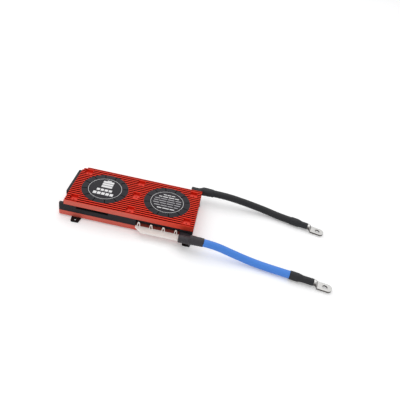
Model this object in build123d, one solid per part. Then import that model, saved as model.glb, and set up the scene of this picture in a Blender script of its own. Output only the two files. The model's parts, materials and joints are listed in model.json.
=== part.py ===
"""Battery management board with two power leads, in millimetres.

X runs along the board towards the leads, Y from the socket side to the rear, Z up.
The origin is on the surface below the middle of the body and its terminal sleeves.
"""
import os
from math import radians, tan

from build123d import *

# Heights, stacked from the surface that the straps stand on
STRAP_THICKNESS = 2.0
BASE_HEIGHT = 7.2
BOARD_THICKNESS = 1.6
FRAME_HEIGHT = 11.0
COVER_PLATE = 4.5
FIN_HEIGHT = 3.0
LABEL_THICKNESS = 0.25

# Body in plan
BODY_LENGTH = 183.0
BODY_WIDTH = 82.0
BODY_CORNER = 2.0
SLEEVE_OVERHANG = 17.0

# Heat-sink cover
COVER_SETBACK = 7.0
FIN_PITCH = 4.1
FIN_GAP = 2.2
FIN_GAPS = 20
COVER_CORNER = 10.0
POCKET_SIDE = 10.4
POCKET_CORNER = 2.5
LABEL_RADIUS = 31.4
LABEL_MARGIN = 1.0
LABEL_SEAT_DEPTH = 0.1
LABEL_SPACING = 88.0

# Cover screws and the spacers around them
SCREW_INSET_X = 11.0
SCREW_INSET_FRONT = 8.5
SCREW_INSET_REAR = 11.5
SCREW_RADIUS = 1.5
SCREW_HEAD_RADIUS = 2.8
SCREW_LENGTH = 20.0
SCREW_KEY = 2.0
SCREW_KEY_DEPTH = 1.0
SCREW_PLAY = 0.1
SPACER_RADIUS = 2.7

# Black frame
FRAME_WALL_SIDE = 5.0
FRAME_WALL_LEFT = 3.5
FRAME_WALL_RIGHT = 4.0
LIP_REACH = 4.5
LIP_THICKNESS = 2.0
NOTCH_FRONT_INSET = 5.0
NOTCH_WIDTH = 24.0
SLOT_INSET_X = 24.0
SLOT_LENGTH = 43.5
SLOT_HEIGHT = 3.8
RECESS_DEPTH = 3.5
RECESS_PLAY = 0.4
RECESS_WINDOW = 2.0

# Base plate
BASE_FLOOR = 3.0
BASE_RIM_INSET = 7.0
BOSS_RADIUS = 5.0
BOSS_HOLE_SPARE = 0.5

# Mounting straps and their screws
STRAP_WIDTH = 13.0
STRAP_BAND_WIDTH = 10.6
STRAP_FLARE = 3.0
STRAP_TIP_WIDTH = 10.3
STRAP_TIP_CORNER = 1.5
STRAP_REACH = 9.0
STRAP_INSET_LEFT = 24.6
STRAP_INSET_RIGHT = 5.7
EAR_HOLE_RADIUS = 1.7
EAR_HOLE_INSET = 4.5
STRAP_SCREW_Y = 22.0
STRAP_SCREW_LENGTH = 4.4
STRAP_SCREW_SUNK = 0.15

# Circuit board
BOARD_PLAY = 0.3
TONGUE_REACH = 3.0
TONGUE_INSET = 0.2

# Cell-sense socket
SOCKET_LENGTH = 59.5
SOCKET_DEPTH = 11.0
SOCKET_HEIGHT = 5.0
SOCKET_LIP = 2.1
SOCKET_LIP_REACH = 3.6
SOCKET_ABOVE_BOARD = 0.8
SOCKET_FRAME_GAP = 1.2
SOCKET_SLANT_X = 9.1
SOCKET_SLANT_Y = 8.0
SOCKET_SHELF_GAP = 0.3
SOCKET_SLEEVE_GAP = 0.4
SOCKET_RIM_WIDTH = 1.2
SOCKET_RIM_HEIGHT = 0.3
SOCKET_WALL = 1.0
SOCKET_BAYS = 3
SOCKET_BAY_DEPTH = 4.6
LATCH_COUNT = 4
LATCH_INSET_LEFT = 4.1
LATCH_INSET_RIGHT = 5.0
LATCH_WIDTH = 4.8
LATCH_TOP_WIDTH = 2.6
LATCH_HEIGHT = 6.6
LATCH_THICKNESS = 1.4
LATCH_STRIP = 1.05
PIN_SIDE = 0.64
PIN_PITCH = 2.5
PINS_PER_BAY = 5
PIN_MOUTH_GAP = 1.2
PIN_FOOT_INSET = 2.0

# Data sockets in the left notch
DATA_WIDTH = 9.0
DATA_DEPTH = 6.5
DATA_HEIGHT = 5.4
DATA_WALL = 0.8
DATA_PITCH = 11.5
DATA_PINS = 4
DATA_PIN_PITCH = 1.8

# Busbars and terminal sleeves, front and rear alike
BUSBAR_WIDTH = 10.6
BUSBAR_THICKNESS = 2.4
BUSBAR_END_INSET = 0.7
BUSBAR_LANDING = 12.0
BUSBAR_RISER_INSET = 15.5
BUSBAR_RISE = 1.8
BUSBAR_TIP = 3.0
BUSBAR_PLAY = 0.2
SPACER_PLAY = 0.3
SLEEVE_WALL = 1.5
SLEEVE_SKIN = 1.0
TERMINAL_REACH = 14.3
TERMINAL_Z = 18.3
SLEEVE_DIAMETER = 12.2
SLEEVE_END_DIAMETER = 11.4
SLEEVE_FLAT_WIDTH = 10.2
SLEEVE_FLAT_HEIGHT = 9.6
SLEEVE_FLAT_CORNER = 4.6
SLEEVE_FLAT_LENGTH = 11.0
SLEEVE_ROUND_LENGTH = 16.0
SLEEVE_ROOT_CORNER = 1.0

# Parts on the circuit board
FET_LENGTH = 10.2
FET_WIDTH = 9.2
FET_HEIGHT = 4.4
FET_TAB = 1.3
FET_PITCH = 20.0
FETS_PER_ROW = 6
FET_ROW_INSET = 24.0
PAD_THICKNESS = 0.5
SPREADER_WIDTH = 12.0
SPREADER_MARGIN = 5.0
SHUNT_LENGTH = 12.0
SHUNT_WIDTH = 4.0
SHUNT_HEIGHT = 3.5
SHUNT_STRIP = 1.0
SHUNT_PITCH = 6.0
SHUNT_COUNT = 3
SHUNT_INSET = 16.0
CAPACITOR_RADIUS = 4.0
CAPACITOR_HEIGHT = 8.5
CAPACITOR_EDGE = 0.5
CAPACITOR_PITCH = 10.0
CAPACITOR_INSET = 24.0
CHIP_SIDE = 12.0
CHIP_HEIGHT = 1.6
CHIP_INSET = 12.0
CHIP_EDGE = 0.3
RESISTOR_LENGTH = 3.2
RESISTOR_WIDTH = 1.6
RESISTOR_HEIGHT = 0.6
RESISTOR_PITCH = 4.0
RESISTOR_COUNT = 12
RESISTOR_INSET = 6.5

# Power leads, their end shrinks and lugs
LEAD_RADIUS = 5.2
CORE_RADIUS = 3.0
CORE_PLAY = 0.1
SHRINK_RADIUS = 6.1
SHRINK_THICK_LENGTH = 11.0
SHRINK_TAPER_LENGTH = 6.0
SHRINK_NECK_RADIUS = 4.9
BLUE_NECK_LENGTH = 15.6
BLACK_NECK_LENGTH = 9.8
BARREL_RADIUS = 4.3
BARREL_START = 12.0
BARREL_PLAY = 0.05
BARREL_SHOWN = 2.6
LUG_STEP = 2.5
LUG_WIDTH = 13.2
LUG_LENGTH = 19.0
LUG_THICKNESS = 2.4
LUG_END_RADIUS = 5.6
LUG_HOLE_RADIUS = 3.3
LUG_HOLE_INSET = 9.0

# Levels and edges that follow from the sizes above
BASE_BOTTOM = STRAP_THICKNESS
BASE_TOP = BASE_BOTTOM + BASE_HEIGHT
BOARD_TOP = BASE_TOP + BOARD_THICKNESS
FRAME_TOP = BASE_TOP + FRAME_HEIGHT
PLATE_TOP = FRAME_TOP + COVER_PLATE
COVER_TOP = PLATE_TOP + FIN_HEIGHT
LABEL_SEAT = COVER_TOP - LABEL_SEAT_DEPTH
BODY_LEFT = -(BODY_LENGTH + SLEEVE_OVERHANG) / 2
BODY_RIGHT = BODY_LEFT + BODY_LENGTH
SIDE = BODY_WIDTH / 2
COVER_LEFT = BODY_LEFT + COVER_SETBACK
COVER_MIDDLE = (COVER_LEFT + BODY_RIGHT) / 2
INNER_LEFT = BODY_LEFT + FRAME_WALL_LEFT
INNER_RIGHT = BODY_RIGHT - FRAME_WALL_RIGHT
INNER_SIDE = SIDE - FRAME_WALL_SIDE
BOARD_LEFT = INNER_LEFT + BOARD_PLAY
BOARD_RIGHT = INNER_RIGHT - BOARD_PLAY
BOARD_SIDE = INNER_SIDE - BOARD_PLAY
NOTCH_FRONT = -SIDE + NOTCH_FRONT_INSET
NOTCH_REAR = NOTCH_FRONT + NOTCH_WIDTH
FET_ROW_Y = SIDE - FET_ROW_INSET
BUSBAR_RIGHT = INNER_RIGHT - BUSBAR_END_INSET
BUSBAR_LEFT = BUSBAR_RIGHT - BUSBAR_WIDTH
BUSBAR_LEVEL = BOARD_TOP + BUSBAR_RISE
BUSBAR_TOP = BUSBAR_LEVEL + BUSBAR_THICKNESS
BUSBAR_RISER_Y = SIDE - BUSBAR_RISER_INSET
TERMINAL_Y = SIDE + TERMINAL_REACH
SLEEVE_LEFT = BUSBAR_LEFT - SLEEVE_WALL
SLEEVE_END = BODY_RIGHT + SLEEVE_OVERHANG
SOCKET_RIGHT = SLEEVE_LEFT - SOCKET_SLEEVE_GAP
SOCKET_LEFT = SOCKET_RIGHT - SOCKET_LENGTH
TONGUE_FRONT = -SIDE - TONGUE_REACH
SOCKET_BACK = -SIDE - SOCKET_FRAME_GAP
SOCKET_FRONT = SOCKET_BACK - SOCKET_DEPTH
SOCKET_MOUTH = SOCKET_FRONT + SOCKET_LIP_REACH
SOCKET_TOP = BOARD_TOP + SOCKET_ABOVE_BOARD
SOCKET_BOTTOM = SOCKET_TOP - SOCKET_HEIGHT
LIP_BOTTOM = SOCKET_TOP - SOCKET_LIP
PIN_LEVEL = (SOCKET_BOTTOM + SOCKET_WALL + LIP_BOTTOM) / 2
SCREW_HOLE_RADIUS = SCREW_RADIUS + SCREW_PLAY
SCREW_PLACES = [
    (x, y)
    for x in (COVER_LEFT + SCREW_INSET_X, COVER_MIDDLE, BODY_RIGHT - SCREW_INSET_X)
    for y in (-SIDE + SCREW_INSET_FRONT, SIDE - SCREW_INSET_REAR)
] + [(COVER_MIDDLE, 0)]
LABEL_PLACES = [(COVER_MIDDLE + side * LABEL_SPACING / 2, 0) for side in (-1, 1)]
STRAP_PLACES = [BODY_LEFT + STRAP_INSET_LEFT, BODY_RIGHT - STRAP_INSET_RIGHT]

# Lead routes, from the sleeve to the end shrink
BLUE_ROUTE = [
    (SLEEVE_END, -TERMINAL_Y, TERMINAL_Z),
    (115.0, -55.5, 17.7),
    (141.0, -56.7, 11.5),
    (168.0, -59.1, 5.6),
    (193.0, -63.0, 6.1),
    (216.7, -66.3, 6.1),
]
BLACK_ROUTE = [
    (SLEEVE_END, TERMINAL_Y, TERMINAL_Z),
    (118.0, 55.5, 18.2),
    (146.0, 57.2, 13.2),
    (178.0, 56.4, 7.3),
    (204.0, 50.7, 6.1),
    (218.8, 47.3, 6.1),
]


def block(x0, x1, y0, y1, z0, z1):
    """Rectangular block between six limits."""
    return Pos((x0 + x1) / 2, (y0 + y1) / 2, (z0 + z1) / 2) * Box(x1 - x0, y1 - y0, z1 - z0)


def prism(sketch, z0, z1):
    """Flat outline raised from one level to another."""
    return extrude(Pos(0, 0, z0) * sketch, amount=z1 - z0)


def rectangle(x0, x1, y0, y1):
    """Rectangle between four limits."""
    return Pos((x0 + x1) / 2, (y0 + y1) / 2) * Rectangle(x1 - x0, y1 - y0)


def at(places, z, piece):
    """Copies of one piece at the places given, all on one level."""
    return [Pos(x, y, z) * piece for x, y in places]


def group(pieces):
    """Separate solids that share one node."""
    return Compound(children=[piece.solid() for piece in pieces])


def countersunk(radius, head_radius, length):
    """Shank with a 90 degree countersunk head, its flat at z = 0 and its tip below."""
    outline = Polyline(
        (0, 0),
        (head_radius, 0),
        (radius, radius - head_radius),
        (radius, -length),
        (0, -length),
        close=True,
    )
    return revolve(Plane.XZ * make_face(outline), Axis.Z)


def screw(length):
    """Countersunk screw with a hexagon key recess."""
    key = RegularPolygon(SCREW_KEY / 2, 6, major_radius=False)
    return countersunk(SCREW_RADIUS, SCREW_HEAD_RADIUS, length) - prism(key, -SCREW_KEY_DEPTH, 0)


def body_outline():
    """Plan of the base plate and the frame, rounded at the left corners."""
    outline = rectangle(BODY_LEFT, BODY_RIGHT, -SIDE, SIDE)
    return fillet(outline.vertices().sort_by(Axis.X)[:2], BODY_CORNER)


def make_heatsink_cover():
    """Finned extrusion with flat label seats, screw pockets and one rounded corner."""
    section = Pos(0, (COVER_PLATE + FIN_HEIGHT) / 2) * Rectangle(BODY_WIDTH, COVER_PLATE + FIN_HEIGHT)
    gap = Pos(0, COVER_PLATE + FIN_HEIGHT / 2) * Rectangle(FIN_GAP, FIN_HEIGHT)
    section -= [place * gap for place in GridLocations(FIN_PITCH, 0, FIN_GAPS, 1)]
    start = Plane((COVER_LEFT, 0, FRAME_TOP), x_dir=(0, 1, 0), z_dir=(1, 0, 0))
    cover = extrude(start * section, amount=BODY_RIGHT - COVER_LEFT)
    disc = Circle(LABEL_RADIUS + LABEL_MARGIN)
    cover += at(LABEL_PLACES, 0, prism(disc, PLATE_TOP, COVER_TOP))
    cover -= at(LABEL_PLACES, 0, prism(disc, LABEL_SEAT, COVER_TOP))
    pocket = prism(RectangleRounded(POCKET_SIDE, POCKET_SIDE, POCKET_CORNER), 0, FIN_HEIGHT)
    cover -= at(SCREW_PLACES, PLATE_TOP, pocket)
    hole = countersunk(SCREW_HOLE_RADIUS, SCREW_HEAD_RADIUS + SCREW_PLAY, COVER_PLATE)
    cover -= at(SCREW_PLACES, PLATE_TOP, hole)
    corner_x = COVER_LEFT + COVER_CORNER
    corner_y = SIDE - COVER_CORNER
    corner = rectangle(COVER_LEFT, corner_x, corner_y, SIDE) - Pos(corner_x, corner_y) * Circle(COVER_CORNER)
    return cover - prism(corner, FRAME_TOP, COVER_TOP)


def make_label(place):
    """Round label on its disc of the cover."""
    return prism(Pos(*place) * Circle(LABEL_RADIUS), LABEL_SEAT, LABEL_SEAT + LABEL_THICKNESS)


def make_cover_screws():
    return group(at(SCREW_PLACES, PLATE_TOP, screw(SCREW_LENGTH)))


def make_cover_spacers():
    ring = Circle(SPACER_RADIUS) - Circle(SCREW_HOLE_RADIUS)
    return group(at(SCREW_PLACES, BOARD_TOP, prism(ring, 0, FRAME_TOP - BOARD_TOP)))


def make_frame():
    """Open frame with a lip at its left end, a notch, a slot, a recess and lead-through openings."""
    walls = body_outline() - rectangle(INNER_LEFT, INNER_RIGHT, -INNER_SIDE, INNER_SIDE)
    frame = prism(walls, BASE_TOP, FRAME_TOP)
    lip_right = COVER_LEFT + LIP_REACH
    frame += block(INNER_LEFT, lip_right, -INNER_SIDE, INNER_SIDE, FRAME_TOP - LIP_THICKNESS, FRAME_TOP)
    frame -= block(BODY_LEFT, lip_right, NOTCH_FRONT, NOTCH_REAR, BOARD_TOP, FRAME_TOP)
    slot_left = BODY_LEFT + SLOT_INSET_X
    frame -= block(slot_left, slot_left + SLOT_LENGTH, -SIDE, -INNER_SIDE, FRAME_TOP - SLOT_HEIGHT, FRAME_TOP)
    recess_left = SOCKET_LEFT - RECESS_PLAY
    recess_right = SOCKET_RIGHT + RECESS_PLAY
    frame -= block(recess_left, recess_right, -SIDE, -SIDE + RECESS_DEPTH, BASE_TOP, FRAME_TOP)
    frame -= block(recess_left, recess_right, -SIDE, -INNER_SIDE, BASE_TOP, BOARD_TOP + RECESS_WINDOW)
    return frame - [busbar_opening(-SIDE, -INNER_SIDE), busbar_opening(INNER_SIDE, SIDE)]


def busbar_opening(y0, y1):
    """Opening for a busbar through one side wall."""
    return block(
        BUSBAR_LEFT - BUSBAR_PLAY,
        BUSBAR_RIGHT + BUSBAR_PLAY,
        y0,
        y1,
        BUSBAR_LEVEL,
        BUSBAR_TOP + BUSBAR_PLAY,
    )


def make_base_plate():
    """Tray with screw bosses that carry the circuit board."""
    plate = prism(body_outline(), BASE_BOTTOM, BASE_TOP)
    inside = rectangle(
        BODY_LEFT + BASE_RIM_INSET, BODY_RIGHT - BASE_RIM_INSET, -SIDE + BASE_RIM_INSET, SIDE - BASE_RIM_INSET
    )
    inside -= [Pos(x, y) * Circle(BOSS_RADIUS) for x, y in SCREW_PLACES]
    plate -= prism(inside, BASE_BOTTOM + BASE_FLOOR, BASE_TOP)
    screw_tip = PLATE_TOP - SCREW_LENGTH
    hole = prism(Circle(SCREW_HOLE_RADIUS), screw_tip - BOSS_HOLE_SPARE, BASE_TOP)
    plate -= at(SCREW_PLACES, 0, hole)
    strap_hole = prism(Circle(SCREW_HOLE_RADIUS), BASE_BOTTOM, BASE_BOTTOM + BASE_FLOOR)
    return plate - at(strap_screw_places(), 0, strap_hole)


def strap_screw_places():
    return [(x, y) for x in STRAP_PLACES for y in (-STRAP_SCREW_Y, STRAP_SCREW_Y)]


def make_mounting_straps():
    """Two flat straps under the base, flared at both ends into tapered ears with a hole."""
    tip = SIDE + STRAP_REACH
    band_end = SIDE - STRAP_FLARE
    half = STRAP_WIDTH / 2
    half_band = STRAP_BAND_WIDTH / 2
    half_tip = STRAP_TIP_WIDTH / 2
    outline = Polygon(
        (half_tip, -tip),
        (half, -SIDE),
        (half_band, -band_end),
        (half_band, band_end),
        (half, SIDE),
        (half_tip, tip),
        (-half_tip, tip),
        (-half, SIDE),
        (-half_band, band_end),
        (-half_band, -band_end),
        (-half, -SIDE),
        (-half_tip, -tip),
        align=None,
    )
    ends = [vertex for vertex in outline.vertices() if abs(vertex.Y) > SIDE + STRAP_REACH / 2]
    outline = fillet(ends, STRAP_TIP_CORNER)
    hole_y = tip - EAR_HOLE_INSET
    outline -= [Pos(0, side * hole_y) * Circle(EAR_HOLE_RADIUS) for side in (-1, 1)]
    strap = prism(outline, 0, STRAP_THICKNESS)
    seat = Rot(180, 0, 0) * countersunk(SCREW_HOLE_RADIUS, SCREW_HEAD_RADIUS + SCREW_PLAY, STRAP_THICKNESS)
    mouth = prism(Circle(SCREW_HEAD_RADIUS + SCREW_PLAY), 0, STRAP_SCREW_SUNK)
    cuts = [
        Pos(0, side * STRAP_SCREW_Y, level) * cut
        for side in (-1, 1)
        for level, cut in ((STRAP_SCREW_SUNK, seat), (0, mouth))
    ]
    return group([Pos(x, 0, 0) * (strap - cuts) for x in STRAP_PLACES])


def make_strap_screws():
    upward = Rot(180, 0, 0) * screw(STRAP_SCREW_LENGTH)
    return group(at(strap_screw_places(), STRAP_SCREW_SUNK, upward))


def make_circuit_board(pins):
    """Board with a tongue that carries the cell-sense socket."""
    outline = rectangle(BOARD_LEFT, BOARD_RIGHT, -BOARD_SIDE, BOARD_SIDE)
    outline += rectangle(SOCKET_LEFT + TONGUE_INSET, SOCKET_RIGHT - TONGUE_INSET, TONGUE_FRONT, 0)
    outline -= [Pos(x, y) * Circle(SCREW_HOLE_RADIUS) for x, y in SCREW_PLACES]
    return prism(outline, BASE_TOP, BOARD_TOP) - pins


def socket_bays():
    """Left and right limits of the bays in the socket's mouth."""
    left = SOCKET_LEFT + SOCKET_SLANT_X + SOCKET_WALL
    pitch = (SOCKET_RIGHT - left) / SOCKET_BAYS
    return [(left + i * pitch, left + (i + 1) * pitch - SOCKET_WALL) for i in range(SOCKET_BAYS)]


def make_sense_pins():
    """Square pins, from the bays of the socket back under the board and up through it."""
    foot = -SIDE - PIN_FOOT_INSET
    half = PIN_SIDE / 2
    pins = []
    for left, right in socket_bays():
        for i in range(PINS_PER_BAY):
            x = (left + right) / 2 + (i - (PINS_PER_BAY - 1) / 2) * PIN_PITCH
            along = block(
                x - half, x + half, SOCKET_MOUTH + PIN_MOUTH_GAP, foot + half, PIN_LEVEL - half, PIN_LEVEL + half
            )
            rise = block(x - half, x + half, foot - half, foot + half, PIN_LEVEL - half, BOARD_TOP)
            pins.append(along + rise)
    return group(pins)


def make_sense_socket(pins):
    """Side-entry socket: top plate with a slanted left end and a rim, mouth under its front lip, latch loops."""
    outline = Polygon(
        (SOCKET_LEFT, SOCKET_BACK),
        (SOCKET_LEFT, SOCKET_FRONT + SOCKET_SLANT_Y),
        (SOCKET_LEFT + SOCKET_SLANT_X, SOCKET_FRONT),
        (SOCKET_RIGHT, SOCKET_FRONT),
        (SOCKET_RIGHT, SOCKET_BACK),
        align=None,
    )
    socket = prism(outline, LIP_BOTTOM, SOCKET_TOP)
    rim = outline - offset(outline, -SOCKET_RIM_WIDTH, kind=Kind.INTERSECTION)
    rim -= rectangle(SOCKET_LEFT, SOCKET_RIGHT, SOCKET_BACK - LATCH_THICKNESS, SOCKET_BACK)
    socket += prism(rim, SOCKET_TOP, SOCKET_TOP + SOCKET_RIM_HEIGHT)
    mouth_left = SOCKET_LEFT + SOCKET_SLANT_X
    socket += block(mouth_left, SOCKET_RIGHT, SOCKET_MOUTH, TONGUE_FRONT, SOCKET_BOTTOM, LIP_BOTTOM)
    socket -= block(SOCKET_LEFT, SOCKET_RIGHT, TONGUE_FRONT, SOCKET_BACK, LIP_BOTTOM, BOARD_TOP)
    socket += block(
        mouth_left, SOCKET_RIGHT, TONGUE_FRONT, -SIDE - SOCKET_SHELF_GAP, SOCKET_BOTTOM, BASE_TOP
    )
    for left, right in socket_bays():
        socket -= block(
            left,
            right,
            SOCKET_MOUTH,
            SOCKET_MOUTH + SOCKET_BAY_DEPTH,
            SOCKET_BOTTOM + SOCKET_WALL,
            LIP_BOTTOM,
        )
    latch = latch_loop()
    first = SOCKET_LEFT + LATCH_INSET_LEFT
    pitch = (SOCKET_RIGHT - LATCH_INSET_RIGHT - first) / (LATCH_COUNT - 1)
    for i in range(LATCH_COUNT):
        socket += Pos(first + i * pitch, SOCKET_BACK, SOCKET_TOP) * latch
    return socket - pins


def latch_loop():
    """Standing loop that narrows towards a rounded top, with a window of the same form."""
    half = LATCH_WIDTH / 2
    half_top = LATCH_TOP_WIDTH / 2
    loop = Polygon((-half, 0), (half, 0), (half_top, LATCH_HEIGHT), (-half_top, LATCH_HEIGHT), align=None)
    loop = fillet(loop.vertices().sort_by(Axis.Y)[2:], half_top * 0.8)
    window_top = half_top - LATCH_STRIP * 0.7
    window_half = half - LATCH_STRIP
    window = Polygon(
        (-window_half, 0),
        (window_half, 0),
        (window_top, LATCH_HEIGHT - LATCH_STRIP * 1.4),
        (-window_top, LATCH_HEIGHT - LATCH_STRIP * 1.4),
        align=None,
    )
    return extrude(Plane.XZ * (loop - window), amount=LATCH_THICKNESS)


def data_socket_places():
    middle = (NOTCH_FRONT + NOTCH_REAR) / 2
    return [(BOARD_LEFT, middle + side * DATA_PITCH / 2) for side in (-1, 1)]


def make_data_pins():
    """Pins of the data sockets, level with the middle of each mouth."""
    pins = []
    half = PIN_SIDE / 2
    level = BOARD_TOP + DATA_HEIGHT / 2
    for x, y in data_socket_places():
        for i in range(DATA_PINS):
            pin_y = y + (i - (DATA_PINS - 1) / 2) * DATA_PIN_PITCH
            pins.append(
                block(x + DATA_WALL, x + DATA_DEPTH, pin_y - half, pin_y + half, level - half, level + half)
            )
    return group(pins)


def make_data_sockets(pins):
    """Two small sockets with their mouths to the left."""
    half = DATA_WIDTH / 2
    shell = block(0, DATA_DEPTH, -half, half, 0, DATA_HEIGHT)
    shell -= block(
        0, DATA_DEPTH - 2 * DATA_WALL, -half + DATA_WALL, half - DATA_WALL, DATA_WALL, DATA_HEIGHT - DATA_WALL
    )
    return group([(Pos(x, y, BOARD_TOP) * shell) - pins for x, y in data_socket_places()])


def make_busbar(side):
    """Copper bar that lands on the board, steps up and leaves through the frame's wall."""
    inner = BUSBAR_RISER_Y - BUSBAR_LANDING
    outer = TERMINAL_Y + BUSBAR_TIP
    step = Polygon(
        (inner, BOARD_TOP),
        (BUSBAR_RISER_Y, BOARD_TOP),
        (BUSBAR_RISER_Y, BUSBAR_LEVEL),
        (outer, BUSBAR_LEVEL),
        (outer, BUSBAR_TOP),
        (BUSBAR_RISER_Y - BUSBAR_THICKNESS, BUSBAR_TOP),
        (BUSBAR_RISER_Y - BUSBAR_THICKNESS, BOARD_TOP + BUSBAR_THICKNESS),
        (inner, BOARD_TOP + BUSBAR_THICKNESS),
        align=None,
    )
    start = Plane((BUSBAR_LEFT, 0, 0), x_dir=(0, side, 0), z_dir=(side, 0, 0))
    bar = extrude(start * step, amount=side * BUSBAR_WIDTH)
    x, y = next(p for p in SCREW_PLACES if p[0] > COVER_MIDDLE and p[1] * side > 0)
    return bar - prism(Pos(x, y) * Circle(SPACER_RADIUS + SPACER_PLAY), BUSBAR_LEVEL, BUSBAR_TOP)


def make_terminal_sleeve(side, busbar, route):
    """Heat-shrink over a power joint: flat over the busbar, then lofted to the round of the lead."""
    flat_middle = BUSBAR_LEVEL - SLEEVE_SKIN + SLEEVE_FLAT_HEIGHT / 2
    flat = RectangleRounded(SLEEVE_FLAT_WIDTH, SLEEVE_FLAT_HEIGHT, SLEEVE_FLAT_CORNER)
    thick = RectangleRounded(SLEEVE_DIAMETER, SLEEVE_DIAMETER, SLEEVE_DIAMETER * 0.49)
    thin = RectangleRounded(SLEEVE_END_DIAMETER, SLEEVE_END_DIAMETER, SLEEVE_END_DIAMETER * 0.49)

    def section(x, z):
        return Plane((x, side * TERMINAL_Y, z), x_dir=(0, 1, 0), z_dir=(1, 0, 0))

    flat_end = section(SLEEVE_LEFT + SLEEVE_FLAT_LENGTH, flat_middle)
    round_start = section(SLEEVE_END - SLEEVE_ROUND_LENGTH, TERMINAL_Z)
    end = Plane(route[0], x_dir=(0, 1, 0), z_dir=Vector(*route[1]) - Vector(*route[0]))
    sleeve = extrude(section(SLEEVE_LEFT, flat_middle) * flat, amount=SLEEVE_FLAT_LENGTH)
    sleeve += loft([flat_end * flat, round_start * thick])
    sleeve += loft([round_start * thick, end * thin])
    root = RectangleRounded(
        BUSBAR_WIDTH + 2 * SLEEVE_WALL, BUSBAR_THICKNESS + 2 * SLEEVE_SKIN, SLEEVE_ROOT_CORNER
    )
    middle = ((BUSBAR_LEFT + BUSBAR_RIGHT) / 2, side * SIDE, (BUSBAR_LEVEL + BUSBAR_TOP) / 2)
    wall = Plane(middle, x_dir=(1, 0, 0), z_dir=(0, side, 0))
    sleeve += extrude(wall * root, amount=TERMINAL_REACH)
    return sleeve - busbar


def make_mosfets():
    """Switching transistors in two rows, each a body on a metal tab."""
    body = block(
        -FET_LENGTH / 2, FET_LENGTH / 2, -FET_WIDTH / 2, FET_WIDTH / 2 - FET_TAB, 0, FET_HEIGHT
    )
    body += block(-FET_LENGTH / 2, FET_LENGTH / 2, 0, FET_WIDTH / 2, 0, FET_TAB)
    return group(at(fet_places(), BOARD_TOP, body))


def fet_places():
    first = COVER_MIDDLE - (FETS_PER_ROW - 1) / 2 * FET_PITCH
    return [(first + i * FET_PITCH, y) for y in (-FET_ROW_Y, FET_ROW_Y) for i in range(FETS_PER_ROW)]


def make_thermal_pads():
    pad = block(
        -FET_LENGTH / 2, FET_LENGTH / 2, -FET_WIDTH / 2, FET_WIDTH / 2 - FET_TAB, 0, PAD_THICKNESS
    )
    return group(at(fet_places(), BOARD_TOP + FET_HEIGHT, pad))


def make_heat_spreaders():
    """Bars that carry the heat of each row up to the cover."""
    half = (FETS_PER_ROW - 1) / 2 * FET_PITCH + FET_LENGTH / 2 + SPREADER_MARGIN
    low = BOARD_TOP + FET_HEIGHT + PAD_THICKNESS
    bar = block(-half, half, -SPREADER_WIDTH / 2, SPREADER_WIDTH / 2, low, FRAME_TOP)
    return group([Pos(COVER_MIDDLE, y, 0) * bar for y in (-FET_ROW_Y, FET_ROW_Y)])


def make_shunts():
    """Bent metal strips that measure the current."""
    half = SHUNT_LENGTH / 2
    strip = rectangle(-half, half, 0, SHUNT_HEIGHT)
    strip -= rectangle(-half + SHUNT_STRIP, half - SHUNT_STRIP, 0, SHUNT_HEIGHT - SHUNT_STRIP)
    shunt = extrude(Plane.XZ * strip, amount=SHUNT_WIDTH / 2, both=True)
    x = BOARD_RIGHT - SHUNT_INSET
    middle = (SHUNT_COUNT - 1) / 2
    return group(at([(x, (i - middle) * SHUNT_PITCH) for i in range(SHUNT_COUNT)], BOARD_TOP, shunt))


def make_capacitors():
    can = Pos(0, 0, CAPACITOR_HEIGHT / 2) * Cylinder(CAPACITOR_RADIUS, CAPACITOR_HEIGHT)
    can = fillet(can.edges().filter_by(GeomType.CIRCLE).sort_by(Axis.Z)[-1:], CAPACITOR_EDGE)
    x = BOARD_LEFT + CAPACITOR_INSET
    return group(at([(x, side * CAPACITOR_PITCH / 2) for side in (-1, 1)], BOARD_TOP, can))


def make_controller_chip():
    chip = block(-CHIP_SIDE / 2, CHIP_SIDE / 2, -CHIP_SIDE / 2, CHIP_SIDE / 2, 0, CHIP_HEIGHT)
    chip = chamfer(chip.faces().sort_by(Axis.Z)[-1].edges(), CHIP_EDGE)
    return Pos(BOARD_LEFT + CHIP_INSET, 0, BOARD_TOP) * chip


def make_balance_resistors():
    chip = block(
        -RESISTOR_WIDTH / 2, RESISTOR_WIDTH / 2, -RESISTOR_LENGTH / 2, RESISTOR_LENGTH / 2, 0, RESISTOR_HEIGHT
    )
    middle = (SOCKET_LEFT + SOCKET_RIGHT) / 2
    y = -BOARD_SIDE + RESISTOR_INSET
    half = (RESISTOR_COUNT - 1) / 2
    return group(at([(middle + (i - half) * RESISTOR_PITCH, y) for i in range(RESISTOR_COUNT)], BOARD_TOP, chip))


def lead_path(name, route):
    """Straight runs joined by arcs as large as the runs allow."""
    points = [Vector(*point) for point in route]
    radii = []
    for before, corner, after in zip(points, points[1:], points[2:]):
        turn = (corner - before).get_angle(after - corner)
        shorter = min((corner - before).length, (after - corner).length)
        radii.append(0.45 * shorter / tan(radians(turn) / 2))
    path = FilletPolyline(*points, radius=radii)
    print(name, "radii", [round(radius, 1) for radius in radii], "length", round(path.length, 1))
    return path


def make_lead(name, route):
    """Insulated lead along its route."""
    path = lead_path(name, route)
    section = Plane(path @ 0, z_dir=path % 0) * Circle(LEAD_RADIUS)
    lead = sweep(section, path=path)
    print(name, "volume", round(lead.volume, 1), "of", round(section.area * path.length, 1))
    return lead


def lead_end(route):
    """Placement at the end of a lead, with its X along the last run."""
    last = Vector(*route[-1])
    before = Vector(*route[-2])
    return Plane(last, x_dir=last - before, z_dir=(0, 0, 1)).location


def turned(*outline):
    """Solid turned about the lead's axis from points of length and radius."""
    return revolve(make_face(Polyline(*outline, close=True)), Axis.X)


def shrink_length(neck_length):
    return SHRINK_THICK_LENGTH + SHRINK_TAPER_LENGTH + neck_length


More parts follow.
